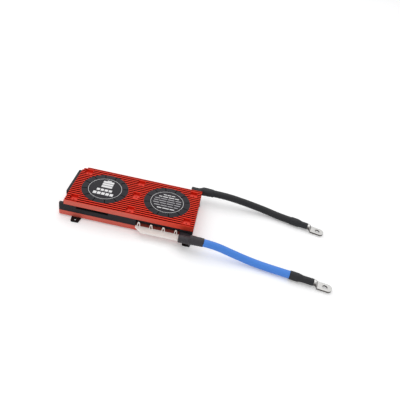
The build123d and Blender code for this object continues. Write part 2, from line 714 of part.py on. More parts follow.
def make_end_shrink(route, neck_length):
    """Shrink over the end of a lead and the lug's barrel: thick, then tapered to a neck."""
    taper = SHRINK_THICK_LENGTH
    neck = taper + SHRINK_TAPER_LENGTH
    end = shrink_length(neck_length)
    bore = BARREL_RADIUS + BARREL_PLAY
    core = CORE_RADIUS + CORE_PLAY
    shrink = turned(
        (0, core),
        (0, SHRINK_RADIUS),
        (taper, SHRINK_RADIUS),
        (neck, SHRINK_NECK_RADIUS),
        (end, SHRINK_NECK_RADIUS),
        (end, bore),
        (BARREL_START, bore),
        (BARREL_START, core),
    )
    return lead_end(route) * shrink


def make_core(route, neck_length):
    """Bare conductor from the lead into the lug's barrel."""
    length = shrink_length(neck_length)
    return lead_end(route) * turned((0, 0), (0, CORE_RADIUS), (length, CORE_RADIUS), (length, 0))


def make_lug(route, neck_length):
    """Crimp lug: tube barrel pressed flat into a tongue with a round end and one hole."""
    barrel_end = shrink_length(neck_length) + BARREL_SHOWN
    bore = CORE_RADIUS + CORE_PLAY
    bore_end = shrink_length(neck_length) + CORE_PLAY
    lug = turned(
        (BARREL_START, bore),
        (BARREL_START, BARREL_RADIUS),
        (barrel_end, BARREL_RADIUS),
        (barrel_end, 0),
        (bore_end, 0),
        (bore_end, bore),
    )
    low = -BARREL_RADIUS
    start = barrel_end + LUG_STEP
    tube = Plane((barrel_end, 0, 0), x_dir=(0, 1, 0), z_dir=(1, 0, 0))
    flat = Plane((start, 0, low + LUG_THICKNESS / 2), x_dir=(0, 1, 0), z_dir=(1, 0, 0))
    lug += loft(
        [
            tube * RectangleRounded(2 * BARREL_RADIUS, 2 * BARREL_RADIUS, BARREL_RADIUS * 0.98),
            flat * RectangleRounded(LUG_WIDTH, LUG_THICKNESS, LUG_THICKNESS * 0.3),
        ]
    )
    tongue = rectangle(start, start + LUG_LENGTH, -LUG_WIDTH / 2, LUG_WIDTH / 2)
    tongue = fillet(tongue.vertices().sort_by(Axis.X)[2:], LUG_END_RADIUS)
    tongue -= Pos(start + LUG_LENGTH - LUG_HOLE_INSET, 0) * Circle(LUG_HOLE_RADIUS)
    lug += prism(tongue, low, low + LUG_THICKNESS)
    return lead_end(route) * lug


sense_pins = make_sense_pins()
data_pins = make_data_pins()
busbar_front = make_busbar(-1)
busbar_rear = make_busbar(1)

PARTS = {
    "heatsink_cover": make_heatsink_cover(),
    "label_left": make_label(LABEL_PLACES[0]),
    "label_right": make_label(LABEL_PLACES[1]),
    "cover_screws": make_cover_screws(),
    "cover_spacers": make_cover_spacers(),
    "frame": make_frame(),
    "base_plate": make_base_plate(),
    "mounting_straps": make_mounting_straps(),
    "strap_screws": make_strap_screws(),
    "circuit_board": make_circuit_board(sense_pins),
    "sense_socket": make_sense_socket(sense_pins),
    "sense_pins": sense_pins,
    "data_sockets": make_data_sockets(data_pins),
    "data_pins": data_pins,
    "busbar_front": busbar_front,
    "busbar_rear": busbar_rear,
    "terminal_sleeve_front": make_terminal_sleeve(-1, busbar_front, BLUE_ROUTE),
    "terminal_sleeve_rear": make_terminal_sleeve(1, busbar_rear, BLACK_ROUTE),
    "mosfets": make_mosfets(),
    "thermal_pads": make_thermal_pads(),
    "heat_spreaders": make_heat_spreaders(),
    "shunts": make_shunts(),
    "capacitors": make_capacitors(),
    "controller_chip": make_controller_chip(),
    "balance_resistors": make_balance_resistors(),
    "blue_lead": make_lead("blue_lead", BLUE_ROUTE),
    "black_lead": make_lead("black_lead", BLACK_ROUTE),
    "blue_shrink": make_end_shrink(BLUE_ROUTE, BLUE_NECK_LENGTH),
    "black_shrink": make_end_shrink(BLACK_ROUTE, BLACK_NECK_LENGTH),
    "blue_core": make_core(BLUE_ROUTE, BLUE_NECK_LENGTH),
    "black_core": make_core(BLACK_ROUTE, BLACK_NECK_LENGTH),
    "blue_lug": make_lug(BLUE_ROUTE, BLUE_NECK_LENGTH),
    "black_lug": make_lug(BLACK_ROUTE, BLACK_NECK_LENGTH),
}

os.makedirs("parts", exist_ok=True)
for name, piece in PARTS.items():
    export_step(piece, f"parts/{name}.step")
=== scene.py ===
"""Battery management board with two power leads: finishes, labels, leads, light and camera, in metres."""
import json
import math

import bpy
from mathutils import Matrix, Vector

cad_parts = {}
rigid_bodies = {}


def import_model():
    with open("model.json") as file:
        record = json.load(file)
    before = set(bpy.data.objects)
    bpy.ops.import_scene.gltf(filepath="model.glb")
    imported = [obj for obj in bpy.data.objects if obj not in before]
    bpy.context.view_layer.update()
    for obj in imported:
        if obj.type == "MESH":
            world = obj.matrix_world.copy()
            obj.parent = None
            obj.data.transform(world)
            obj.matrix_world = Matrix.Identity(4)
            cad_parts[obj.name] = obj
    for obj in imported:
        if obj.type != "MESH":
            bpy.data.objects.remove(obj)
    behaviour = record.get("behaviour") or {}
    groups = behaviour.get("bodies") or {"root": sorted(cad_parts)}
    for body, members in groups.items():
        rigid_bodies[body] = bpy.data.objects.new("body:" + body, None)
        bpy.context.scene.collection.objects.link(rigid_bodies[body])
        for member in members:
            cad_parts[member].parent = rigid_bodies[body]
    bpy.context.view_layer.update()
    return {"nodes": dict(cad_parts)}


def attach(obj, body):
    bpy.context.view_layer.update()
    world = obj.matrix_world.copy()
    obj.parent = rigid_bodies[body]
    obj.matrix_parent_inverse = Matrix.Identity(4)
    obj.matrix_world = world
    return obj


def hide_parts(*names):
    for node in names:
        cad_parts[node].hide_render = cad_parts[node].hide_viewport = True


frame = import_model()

MM = 0.001
nodes = frame["nodes"]
bpy.ops.object.select_all(action="DESELECT")


# Colours and nodes

def linear(code):
    """sRGB hex colour as linear red, green, blue and alpha."""
    parts = [int(code[i:i + 2], 16) / 255 for i in (0, 2, 4)]
    parts = [part / 12.92 if part <= 0.04045 else ((part + 0.055) / 1.055) ** 2.4 for part in parts]
    return (*parts, 1.0)


def add(tree, kind, values=None, links=None, **settings):
    """One node with its settings, its socket values and the sockets that feed it."""
    made = tree.nodes.new(kind)
    for name, value in settings.items():
        setattr(made, name, value)
    for name, value in (values or {}).items():
        made.inputs[name].default_value = value
    for name, source in (links or {}).items():
        tree.links.new(source, made.inputs[name])
    return made


def start_material(name):
    """Empty material and its node tree."""
    material = bpy.data.materials.new(name)
    material.use_nodes = True
    material.node_tree.nodes.clear()
    return material, material.node_tree


def per_mm(size):
    """Noise scale that gives features of a size in millimetres."""
    return 1.0 / (size * MM)


# Materials
# Die lines and moulding grain are finer on real stock: they are drawn coarser here, so that they show

DIE_LINE_LENGTH = 30.0
DIE_LINE_WIDTH = 0.5
DIE_LINE_DEPTH = 0.06 * MM
DYE_CLOUD = 22.0
TONE_CLOUD = 18.0
HANDLING_MARK = 1.2
HANDLING_DEPTH = 0.05 * MM
FIN_FOOT = 24.7 * MM
GROOVE_START = FIN_FOOT + 0.05 * MM
FIN_FIELD = 39.5 * MM
# Painted highlight on the flanks: palest at the first place along the length, gone at the second
PAINTED_HIGHLIGHT_FULL = -10.0 * MM
PAINTED_HIGHLIGHT_GONE = 60.0 * MM
# Upward share of a normal at which a face counts as level, and as upright
LEVEL = 0.6
UPRIGHT = 0.3
LUG_LEVEL = 0.75
LUG_UPRIGHT = 0.35


def upright_faces(tree, place):
    """Shares of the upright faces: all of them, those between the fins, and the flanks outside the fins."""
    facing = add(tree, "ShaderNodeSeparateXYZ", links={"Vector": place.outputs["Normal"]})
    upward = add(tree, "ShaderNodeMath", operation="ABSOLUTE", links={0: facing.outputs["Z"]})
    side = add(
        tree, "ShaderNodeMapRange",
        values={"From Min": LEVEL, "From Max": UPRIGHT, "To Min": 0.0, "To Max": 1.0},
        links={"Value": upward.outputs["Value"]},
    )
    spot = add(tree, "ShaderNodeSeparateXYZ", links={"Vector": place.outputs["Object"]})
    above = add(
        tree, "ShaderNodeMath", operation="GREATER_THAN",
        values={1: GROOVE_START},
        links={0: spot.outputs["Z"]},
    )
    across = add(tree, "ShaderNodeMath", operation="ABSOLUTE", links={0: spot.outputs["Y"]})
    within = add(
        tree, "ShaderNodeMath", operation="LESS_THAN",
        values={1: FIN_FIELD},
        links={0: across.outputs["Value"]},
    )
    between = add(
        tree, "ShaderNodeMath", operation="MULTIPLY",
        links={0: above.outputs["Value"], 1: within.outputs["Value"]},
    )
    groove = add(
        tree, "ShaderNodeMath", operation="MULTIPLY",
        links={0: side.outputs["Result"], 1: between.outputs["Value"]},
    )
    flank = add(
        tree, "ShaderNodeMath", operation="SUBTRACT",
        links={0: side.outputs["Result"], 1: groove.outputs["Value"]},
    )
    return side.outputs["Result"], groove.outputs["Value"], flank.outputs["Value"]


def red_dye(tree, place, groove, flank, groove_shading_red):
    """Red in soft clouds, with painted shade in another red between the fins, and a painted sheen on the
    flanks: a pale painted reflection that fades along them.
    """
    clouds = add(
        tree, "ShaderNodeTexNoise",
        values={"Scale": per_mm(DYE_CLOUD), "Detail": 2.0},
        links={"Vector": place.outputs["Object"]},
    )
    dye = add(
        tree, "ShaderNodeMixRGB",
        values={"Color1": linear("B8200C"), "Color2": linear("C62C14")},
        links={"Fac": clouds.outputs["Fac"]},
    )
    # Painted shade: the faces between the fins take the groove red in place of the dye
    groove_shaded = add(
        tree, "ShaderNodeMixRGB",
        values={"Color2": linear(groove_shading_red)},
        links={"Fac": groove, "Color1": dye.outputs["Color"]},
    )
    spot = add(tree, "ShaderNodeSeparateXYZ", links={"Vector": place.outputs["Object"]})
    # Painted highlight: a pale reflection painted on the flanks, fading out along the length
    painted_highlight_fade = add(
        tree, "ShaderNodeMapRange",
        values={"From Min": PAINTED_HIGHLIGHT_FULL, "From Max": PAINTED_HIGHLIGHT_GONE, "To Min": 1.0, "To Max": 0.0},
        links={"Value": spot.outputs["X"]},
    )
    # Painted sheen and painted light: the flanks take pale reds that stand in for reflected light, brighter
    # red where the flank lies in shade
    flank_painted_sheen = add(
        tree, "ShaderNodeMixRGB",
        values={"Color1": linear("D83A20"), "Color2": linear("CE5D4E")},
        links={"Fac": painted_highlight_fade.outputs["Result"]},
    )
    tone = add(
        tree, "ShaderNodeMixRGB",
        links={"Fac": flank, "Color1": groove_shaded.outputs["Color"], "Color2": flank_painted_sheen.outputs["Color"]},
    )
    return tone.outputs["Color"]


def red_anodised_aluminium(name, groove_shading_red, top_metallic):
    """Extruded aluminium dyed red: a satin metal with fine lines along it, with a pale painted sheen on its
    outer flanks.
    """
    material, tree = start_material(name)
    place = add(tree, "ShaderNodeTexCoord")
    side, groove, flank = upright_faces(tree, place)
    along = add(
        tree, "ShaderNodeMapping",
        values={"Scale": (per_mm(DIE_LINE_LENGTH), per_mm(DIE_LINE_WIDTH), per_mm(DIE_LINE_WIDTH))},
        links={"Vector": place.outputs["Object"]},
    )
    lines = add(
        tree, "ShaderNodeTexNoise",
        values={"Scale": 1.0, "Detail": 3.0, "Roughness": 0.6},
        links={"Vector": along.outputs["Vector"]},
    )
    film = add(
        tree, "ShaderNodeMapRange",
        values={"To Min": 0.18, "To Max": 0.0},
        links={"Value": side},
    )
    metal = add(
        tree, "ShaderNodeMapRange",
        values={"To Min": top_metallic, "To Max": 0.35},
        links={"Value": flank},
    )
    grain = add(
        tree, "ShaderNodeMapRange",
        values={"To Min": 0.28, "To Max": 0.44},
        links={"Value": lines.outputs["Fac"]},
    )
    gloss = add(
        tree, "ShaderNodeMath", operation="MULTIPLY_ADD",
        values={1: 0.15},
        links={0: flank, 2: grain.outputs["Result"]},
    )
    relief = add(
        tree, "ShaderNodeBump",
        values={"Strength": 0.25, "Distance": DIE_LINE_DEPTH},
        links={"Height": lines.outputs["Fac"]},
    )
    shader = add(
        tree, "ShaderNodeBsdfPrincipled",
        values={"Coat Roughness": 0.35},
        links={
            "Coat Weight": film.outputs["Result"],
            "Base Color": red_dye(tree, place, groove, flank, groove_shading_red),
            "Metallic": metal.outputs["Result"],
            "Roughness": gloss.outputs["Value"],
            "Normal": relief.outputs["Normal"],
        },
    )
    add(tree, "ShaderNodeOutputMaterial", links={"Surface": shader.outputs["BSDF"]})
    return material


def moulded(name, tones, grain, rough, depth, strength=0.3, specular=0.5):
    """Moulded or coated surface: two close tones, and a grain in millimetres that breaks up its gloss."""
    material, tree = start_material(name)
    place = add(tree, "ShaderNodeTexCoord")
    pits = add(
        tree, "ShaderNodeTexNoise",
        values={"Scale": per_mm(grain), "Detail": 4.0, "Roughness": 0.6},
        links={"Vector": place.outputs["Object"]},
    )
    clouds = add(
        tree, "ShaderNodeTexNoise",
        values={"Scale": per_mm(TONE_CLOUD), "Detail": 2.0},
        links={"Vector": place.outputs["Object"]},
    )
    tone = add(
        tree, "ShaderNodeMixRGB",
        values={"Color1": linear(tones[0]), "Color2": linear(tones[1])},
        links={"Fac": clouds.outputs["Fac"]},
    )
    gloss = add(
        tree, "ShaderNodeMapRange",
        values={"To Min": rough[0], "To Max": rough[1]},
        links={"Value": pits.outputs["Fac"]},
    )
    relief = add(
        tree, "ShaderNodeBump",
        values={"Strength": strength, "Distance": depth * MM},
        links={"Height": pits.outputs["Fac"]},
    )
    shader = add(
        tree, "ShaderNodeBsdfPrincipled",
        values={"Specular IOR Level": specular},
        links={
            "Base Color": tone.outputs["Color"],
            "Roughness": gloss.outputs["Result"],
            "Normal": relief.outputs["Normal"],
        },
    )
    add(tree, "ShaderNodeOutputMaterial", links={"Surface": shader.outputs["BSDF"]})
    return material


def bare_metal(name, tones, rough, cut_edge_and_shade=None):
    """Plated or bare metal: bright, with soft marks in its gloss and, where given, a darker tone on upright
    faces: bare cut edges, with painted shade on the other upright sides.
    """
    material, tree = start_material(name)
    place = add(tree, "ShaderNodeTexCoord")
    marks = add(
        tree, "ShaderNodeTexNoise",
        values={"Scale": per_mm(HANDLING_MARK), "Detail": 4.0, "Roughness": 0.65},
        links={"Vector": place.outputs["Object"]},
    )
    tone = add(
        tree, "ShaderNodeMixRGB",
        values={"Color1": linear(tones[0]), "Color2": linear(tones[1])},
        links={"Fac": marks.outputs["Fac"]},
    )
    if cut_edge_and_shade:
        # Cut edges and painted shade: every upright face takes the darker tone, cut edges and shaded sides
        # alike
        facing = add(tree, "ShaderNodeSeparateXYZ", links={"Vector": place.outputs["Normal"]})
        upward = add(tree, "ShaderNodeMath", operation="ABSOLUTE", links={0: facing.outputs["Z"]})
        cut = add(
            tree, "ShaderNodeMapRange",
            values={"From Min": LUG_LEVEL, "From Max": LUG_UPRIGHT, "To Min": 0.0, "To Max": 1.0},
            links={"Value": upward.outputs["Value"]},
        )
        tone = add(
            tree, "ShaderNodeMixRGB",
            values={"Color2": linear(cut_edge_and_shade)},
            links={"Fac": cut.outputs["Result"], "Color1": tone.outputs["Color"]},
        )
    gloss = add(
        tree, "ShaderNodeMapRange",
        values={"To Min": rough[0], "To Max": rough[1]},
        links={"Value": marks.outputs["Fac"]},
    )
    dents = add(
        tree, "ShaderNodeBump",
        values={"Strength": 0.2, "Distance": HANDLING_DEPTH},
        links={"Height": marks.outputs["Fac"]},
    )
    shader = add(
        tree, "ShaderNodeBsdfPrincipled",
        values={"Metallic": 1.0},
        links={
            "Base Color": tone.outputs["Color"],
            "Roughness": gloss.outputs["Result"],
            "Normal": dents.outputs["Normal"],
        },
    )
    add(tree, "ShaderNodeOutputMaterial", links={"Surface": shader.outputs["BSDF"]})
    return material


# Extruded and dyed: satin red on top, with painted shade in dark red down between the fins
red_aluminium = red_anodised_aluminium("red_anodised_aluminium", "760602", top_metallic=1.0)
# Screw pockets: the same dyed red, with painted light on their walls, a brighter red that lifts the shade in
# the pockets
pocket_aluminium = red_anodised_aluminium("red_anodised_aluminium_pocket", "DC3E26", top_metallic=0.7)
# Moulded with a matt grain: a soft black that shows no clear reflections
black_abs = moulded(
    "black_abs_moulding", ("1A181C", "222024"), grain=0.35, rough=(0.45, 0.65), depth=0.02, specular=0.22,
)
# Pressed steel under lacquer: the deepest black on the part, with a faint sheen
black_strap = moulded(
    "black_lacquered_steel", ("050505", "0A090B"), grain=0.3, rough=(0.4, 0.6), depth=0.01, specular=0.2,
)
# Printed film: a flat charcoal, lighter than the plastic, with hardly any gloss
label_film = moulded(
    "charcoal_label_film", ("2E2C30", "363438"), grain=0.25, rough=(0.5, 0.65), depth=0.005, strength=0.15,
    specular=0.1,
)
# Cuts through the film: dead black lines
label_dark = moulded(
    "label_film_cut", ("040404", "080808"), grain=0.25, rough=(0.6, 0.7), depth=0.005, strength=0.15,
    specular=0.02,
)
# Screen print: a dense, matt white
label_white = moulded(
    "white_label_ink", ("E4E2E4", "F2F1F2"), grain=0.3, rough=(0.45, 0.6), depth=0.005, strength=0.15,
    specular=0.3,
)
# Screen print: a matt mid grey that sits back from the white
label_grey = moulded(
    "grey_label_ink", ("A9A7AB", "B9B7BB"), grain=0.3, rough=(0.45, 0.6), depth=0.005, strength=0.15,
    specular=0.3,
)
# Moulded nylon: a warm white with a satin gloss
white_nylon = moulded(
    "natural_white_nylon", ("F6F0EA", "FCF8F4"), grain=0.6, rough=(0.35, 0.5), depth=0.01, strength=0.2,
)
# Lacquer over glass-fibre board: a dull red-brown
board_mask = moulded(
    "red_solder_mask", ("A2443A", "B8564A"), grain=0.8, rough=(0.3, 0.45), depth=0.01, strength=0.2,
)
# Tube shrunk over a joint: a warm dark grey, lumpy, with broad soft highlights
grey_shrink = moulded(
    "dark_grey_heat_shrink", ("28252A", "353136"), grain=2.4, rough=(0.38, 0.62), depth=0.35, strength=0.7,
    specular=0.35,
)
# The same tube in black: darker, with smaller lumps
black_shrink = moulded(
    "black_heat_shrink", ("1C1D20", "26272A"), grain=1.4, rough=(0.4, 0.6), depth=0.1, strength=0.5,
    specular=0.3,
)
# Drawn silicone: a clear mid blue with a soft band of light along its top
blue_silicone = moulded(
    "blue_silicone_insulation", ("4080DC", "4E8EE8"), grain=0.8, rough=(0.38, 0.55), depth=0.02,
    strength=0.25, specular=0.4,
)
# The same silicone in black: the band of light is all that shows its round
black_silicone = moulded(
    "black_silicone_insulation", ("17181A", "1F2023"), grain=0.8, rough=(0.38, 0.55), depth=0.02,
    strength=0.25, specular=0.3,
)
# Moulded epoxy: a plain matt black
package_black = moulded(
    "black_epoxy_package", ("1B1B1C", "262627"), grain=0.4, rough=(0.4, 0.6), depth=0.01,
)
# Filled silicone sheet: a dull grey with no gloss
thermal_grey = moulded("grey_thermal_pad", ("8C9098", "9DA1A8"), grain=0.5, rough=(0.6, 0.8), depth=0.02)
# Tinned and stamped: a pale bright metal, darker on all upright faces: partly the bare cut edges, partly
# painted shade on the other upright sides
tinned_copper = bare_metal("tinned_copper", ("B4B3B1", "CFCECC"), rough=(0.22, 0.42), cut_edge_and_shade="565250")
# Rolled copper: a warm orange metal
bare_copper = bare_metal("bare_copper", ("B4683E", "CE8658"), rough=(0.28, 0.45))
# Plated screws: a mid grey, half bright metal
plated_steel = bare_metal("plated_steel", ("9C9C9C", "C4C4C4"), rough=(0.28, 0.45))
# Cut aluminium: a pale metal, a little matt
plain_aluminium = bare_metal("plain_aluminium", ("B8B9BB", "D6D7D9"), rough=(0.3, 0.5))

FINISHES = {
    "heatsink_cover": red_aluminium,
    "base_plate": red_aluminium,
    "cover_screws": pocket_aluminium,
    "cover_spacers": plain_aluminium,
    "strap_screws": plated_steel,
    "frame": black_abs,
    "mounting_straps": black_strap,
    "circuit_board": board_mask,
    "sense_socket": white_nylon,
    "data_sockets": white_nylon,
    "sense_pins": tinned_copper,
    "data_pins": tinned_copper,
    "busbar_front": bare_copper,
    "busbar_rear": bare_copper,
    "terminal_sleeve_front": grey_shrink,
    "terminal_sleeve_rear": black_shrink,
    "mosfets": package_black,
    "controller_chip": package_black,
    "balance_resistors": package_black,
    "thermal_pads": thermal_grey,
    "heat_spreaders": plain_aluminium,
    "capacitors": plain_aluminium,
    "shunts": bare_copper,
    "blue_shrink": black_shrink,
    "black_shrink": black_shrink,
    "blue_core": bare_copper,
    "black_core": bare_copper,
    "blue_lug": tinned_copper,
    "black_lug": tinned_copper,
    "label_left": label_film,
    "label_right": label_film,
    "blue_lead": blue_silicone,
    "black_lead": black_silicone,
}


def paint(piece, material):
    """The piece in one finish."""
    piece.data.materials.clear()
    piece.data.materials.append(material)


for name, material in FINISHES.items():
    paint(nodes[name], material)


# Pieces made from the solids

MERGE_DISTANCE = 0.001 * MM
FLAT_ANGLE = math.radians(1.0)
SHARP_ANGLE = math.radians(40)
SMOOTH_ANGLE = math.radians(35)


def only(piece):
    """That piece alone selected and active."""
    bpy.ops.object.select_all(action="DESELECT")
    piece.select_set(True)
    bpy.context.view_layer.objects.active = piece


def copy_of(name):
    """Merged copy of a solid, as a piece of its own."""
    only(nodes[name])
    bpy.ops.object.duplicate()
    piece = bpy.context.active_object
    bpy.ops.object.parent_clear(type="CLEAR_KEEP_TRANSFORM")
    for key in list(piece.keys()):
        del piece[key]
    piece.name = name + "_piece"
    piece.data.name = piece.name
    bpy.ops.mesh.customdata_custom_splitnormals_clear()
    bpy.ops.object.mode_set(mode="EDIT")
    bpy.ops.mesh.select_all(action="SELECT")
    bpy.ops.mesh.remove_doubles(threshold=MERGE_DISTANCE)
    bpy.ops.mesh.dissolve_limited(angle_limit=FLAT_ANGLE)
    bpy.ops.object.mode_set(mode="OBJECT")
    return piece


def apply(piece, name, kind, **settings):
    """One modifier put on the piece and applied."""
    modifier = piece.modifiers.new(name, kind)
    for key, value in settings.items():
        setattr(modifier, key, value)
    only(piece)
    bpy.ops.object.modifier_apply(modifier=modifier.name)


def stand_in(piece, name):
    """The piece shown in place of its solid."""
    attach(piece, "root")
    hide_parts(name)


# Metal and moulded pieces, with rolled edges

COVER_EDGE = 0.18 * MM
CASE_EDGE = 0.3 * MM
STRAP_EDGE = 0.25 * MM
SENSE_SOCKET_EDGE = 0.14 * MM
DATA_SOCKET_EDGE = 0.1 * MM
LABEL_PLACES = {"label_left": (-49.0 * MM, 0.0), "label_right": (39.0 * MM, 0.0)}
SEAT_TOP = 27.6 * MM
SEAT_DEPTH = 0.2 * MM
SEAT_ZONE = 33.0 * MM
POCKET_COLUMNS = (-82.0, -5.0, 72.0)
POCKET_PLACES = [(x, y) for x in POCKET_COLUMNS for y in (-32.5, 29.5)] + [(-5.0, 0.0)]
POCKET_HALF = 5.2 * MM
POCKET_MARGIN = 0.3 * MM
POCKET_REACH = 7.4 * MM
FOOT_MARGIN = 0.1 * MM
WALL_NORMAL = 0.5
STRAP_SCREW_PLACES = [(x, y) for x in (-75.4, 77.3) for y in (-22.0, 22.0)]
STRAP_SCREW_ZONE = 5.0 * MM


def soft_edged(name, radius, spared=None, cuts=()):
    """Copy of a solid, cut at places along it, with its sharp edges rolled over unless a test spares them."""
    piece = copy_of(name)
    bpy.ops.object.mode_set(mode="EDIT")
    for place in cuts:
        bpy.ops.mesh.select_all(action="SELECT")
        bpy.ops.mesh.bisect(plane_co=(place, 0.0, 0.0), plane_no=(1.0, 0.0, 0.0))
    bpy.ops.mesh.select_mode(type="EDGE")
    bpy.ops.mesh.select_all(action="DESELECT")
    bpy.ops.mesh.edges_select_sharp(sharpness=SHARP_ANGLE)
    bpy.ops.object.mode_set(mode="OBJECT")
    if spared:
        corners = piece.data.vertices
        for edge in piece.data.edges:
            ends = [corners[i].co for i in edge.vertices]
            if edge.select and spared((ends[0] + ends[1]) / 2):
                edge.select = False
    bpy.ops.object.mode_set(mode="EDIT")
    bpy.ops.mesh.bevel(offset=radius, segments=2, affect="EDGES", clamp_overlap=False)
    bpy.ops.mesh.select_mode(type="VERT")
    bpy.ops.object.mode_set(mode="OBJECT")
    bpy.ops.object.shade_smooth_by_angle(angle=SMOOTH_ANGLE)
    apply(piece, "flat_faces", "WEIGHTED_NORMAL", keep_sharp=True)
    stand_in(piece, name)
    return piece


def at_label_seat(place):
    """True on the fine step round a label's seat."""
    return place.z > SEAT_TOP - SEAT_DEPTH and any(
        math.hypot(place.x - x, place.y - y) < SEAT_ZONE for x, y in LABEL_PLACES.values()
    )


def near_pocket(place, reach):
    """True within a reach, front to back, of a screw pocket's middle."""
    return any(
        abs(place.x - x * MM) < POCKET_HALF + POCKET_MARGIN and abs(place.y - y * MM) < reach
        for x, y in POCKET_PLACES
    )


def on_pocket(face):
    """True on the floor and the walls of a screw pocket."""
    low = face.center.z < FIN_FOOT + FOOT_MARGIN
    return near_pocket(face.center, POCKET_REACH) and (low or abs(face.normal.z) < WALL_NORMAL)


def stays_sharp(place):
    """True on the cover's edges that are too fine to roll over, or lie at the foot of its fins."""
    foot = abs(place.z - FIN_FOOT) < FOOT_MARGIN
    return foot or at_label_seat(place) or near_pocket(place, POCKET_HALF + POCKET_MARGIN)


def at_strap_screw(place):
    """True at the fine mouth of a strap screw's seat."""
    return any(
        math.hypot(place.x - x * MM, place.y - y * MM) < STRAP_SCREW_ZONE for x, y in STRAP_SCREW_PLACES
    )


pocket_ends = [x * MM + side for x in POCKET_COLUMNS for side in (-POCKET_HALF, POCKET_HALF)]
cover = soft_edged("heatsink_cover", COVER_EDGE, stays_sharp, pocket_ends)
cover.data.materials.append(pocket_aluminium)
# Pocket floors and walls take the pocket finish, whose walls carry painted light
for face in cover.data.polygons:
    if on_pocket(face):
        face.material_index = 1
soft_edged("base_plate", CASE_EDGE)
soft_edged("frame", CASE_EDGE)
soft_edged("mounting_straps", STRAP_EDGE, at_strap_screw)
soft_edged("sense_socket", SENSE_SOCKET_EDGE)
soft_edged("data_sockets", DATA_SOCKET_EDGE)


# Shrunk sleeves and pressed lugs

SHRINK_VOXEL = 0.5 * MM
LUG_VOXEL = 0.3 * MM
SOFTENING = 0.5
SHRINK_ROUNDS = 10
REAR_SLEEVE_ROUNDS = 36
LUG_ROUNDS = 3
FRONT_WRINKLE = 1.0 * MM
REAR_WRINKLE = 0.9 * MM
LEAD_END_WRINKLE = 0.45 * MM
# Noise level at which the skin stays in place: a full level moves the skin inwards only
MOSTLY_OUT = 0.35
ONLY_IN = 1.0
FOLD_PLACE = 82.0 * MM
FOLD_WIDTH = 1.0 * MM
FOLD_HEIGHT = 1.1 * MM
FOLD_LEAST = 0.02

wrinkles = bpy.data.textures.new("shrink_wrinkles", "CLOUDS")
wrinkles.noise_scale = 4.5 * MM
wrinkles.noise_depth = 2


def shrunk(name, depth, level, rounds=SHRINK_ROUNDS, fold=None):
    """Copy of a solid with the soft, uneven skin of shrunk tube, and a raised fold at a place along it."""
    piece = copy_of(name)
    apply(piece, "skin", "REMESH", mode="VOXEL", voxel_size=SHRINK_VOXEL)
    apply(piece, "softening", "SMOOTH", factor=SOFTENING, iterations=rounds)
    apply(
        piece, "wrinkling", "DISPLACE",
        texture=wrinkles, texture_coords="LOCAL", strength=depth, mid_level=level,
    )
    if fold:
        ridge = piece.vertex_groups.new(name="fold")
        for corner in piece.data.vertices:
            share = math.exp(-((corner.co.x - fold) / FOLD_WIDTH) ** 2)
            if share > FOLD_LEAST:
                ridge.add([corner.index], share, "REPLACE")
        apply(
            piece, "folding", "DISPLACE",
            vertex_group=ridge.name, strength=FOLD_HEIGHT, mid_level=0.0,
        )
    bpy.ops.object.shade_smooth()
    stand_in(piece, name)
    return piece


def pressed(name):
    """Copy of a solid with the soft edges of pressed sheet."""
    piece = copy_of(name)
    apply(piece, "skin", "REMESH", mode="VOXEL", voxel_size=LUG_VOXEL)
    apply(piece, "softening", "SMOOTH", factor=SOFTENING, iterations=LUG_ROUNDS)
    bpy.ops.object.shade_smooth()
    stand_in(piece, name)
    return piece


shrunk("terminal_sleeve_front", FRONT_WRINKLE, MOSTLY_OUT, fold=FOLD_PLACE)
shrunk("terminal_sleeve_rear", REAR_WRINKLE, MOSTLY_OUT, rounds=REAR_SLEEVE_ROUNDS)
for colour in ("blue", "black"):
    shrunk(colour + "_shrink", LEAD_END_WRINKLE, ONLY_IN)
    pressed(colour + "_lug")


# Labels

LABEL_RADIUS = 32.2 * MM
FILM_TOP = 27.78 * MM
FILM_RIM = 0.08 * MM
RIM_MARGIN = 0.01 * MM
ROUND_STEPS = 160
PRINT_THICKNESS = 0.05 * MM
PRINT_CORNER = 0.2 * MM
RING_RADIUS = 22.5 * MM
RING_WIDTH = 0.45 * MM
CUT_ANGLES = range(15, 375, 30)
CUT_START = 23.6 * MM
CUT_END = 32.1 * MM
CUT_WIDTH = 1.1 * MM


def label_film_disc(name):
    """Round film on its seat, with a rolled rim."""
    x, y = LABEL_PLACES[name]
    depth = FILM_TOP - SEAT_TOP
    bpy.ops.mesh.primitive_cylinder_add(
        vertices=ROUND_STEPS, radius=LABEL_RADIUS, depth=depth, location=(x, y, SEAT_TOP + depth / 2)
    )
    disc = bpy.context.active_object
    bpy.ops.object.transform_apply(location=True, rotation=True, scale=True)
    bpy.ops.object.mode_set(mode="EDIT")
    bpy.ops.mesh.select_mode(type="EDGE")
    bpy.ops.mesh.select_all(action="DESELECT")
    bpy.ops.object.mode_set(mode="OBJECT")
    corners = disc.data.vertices
    for edge in disc.data.edges:
        edge.select = all(corners[i].co.z > FILM_TOP - RIM_MARGIN for i in edge.vertices)
    bpy.ops.object.mode_set(mode="EDIT")
    bpy.ops.mesh.bevel(offset=FILM_RIM, segments=2, affect="EDGES")
    bpy.ops.mesh.select_mode(type="VERT")
    bpy.ops.object.mode_set(mode="OBJECT")
    paint(disc, label_film)
    return disc


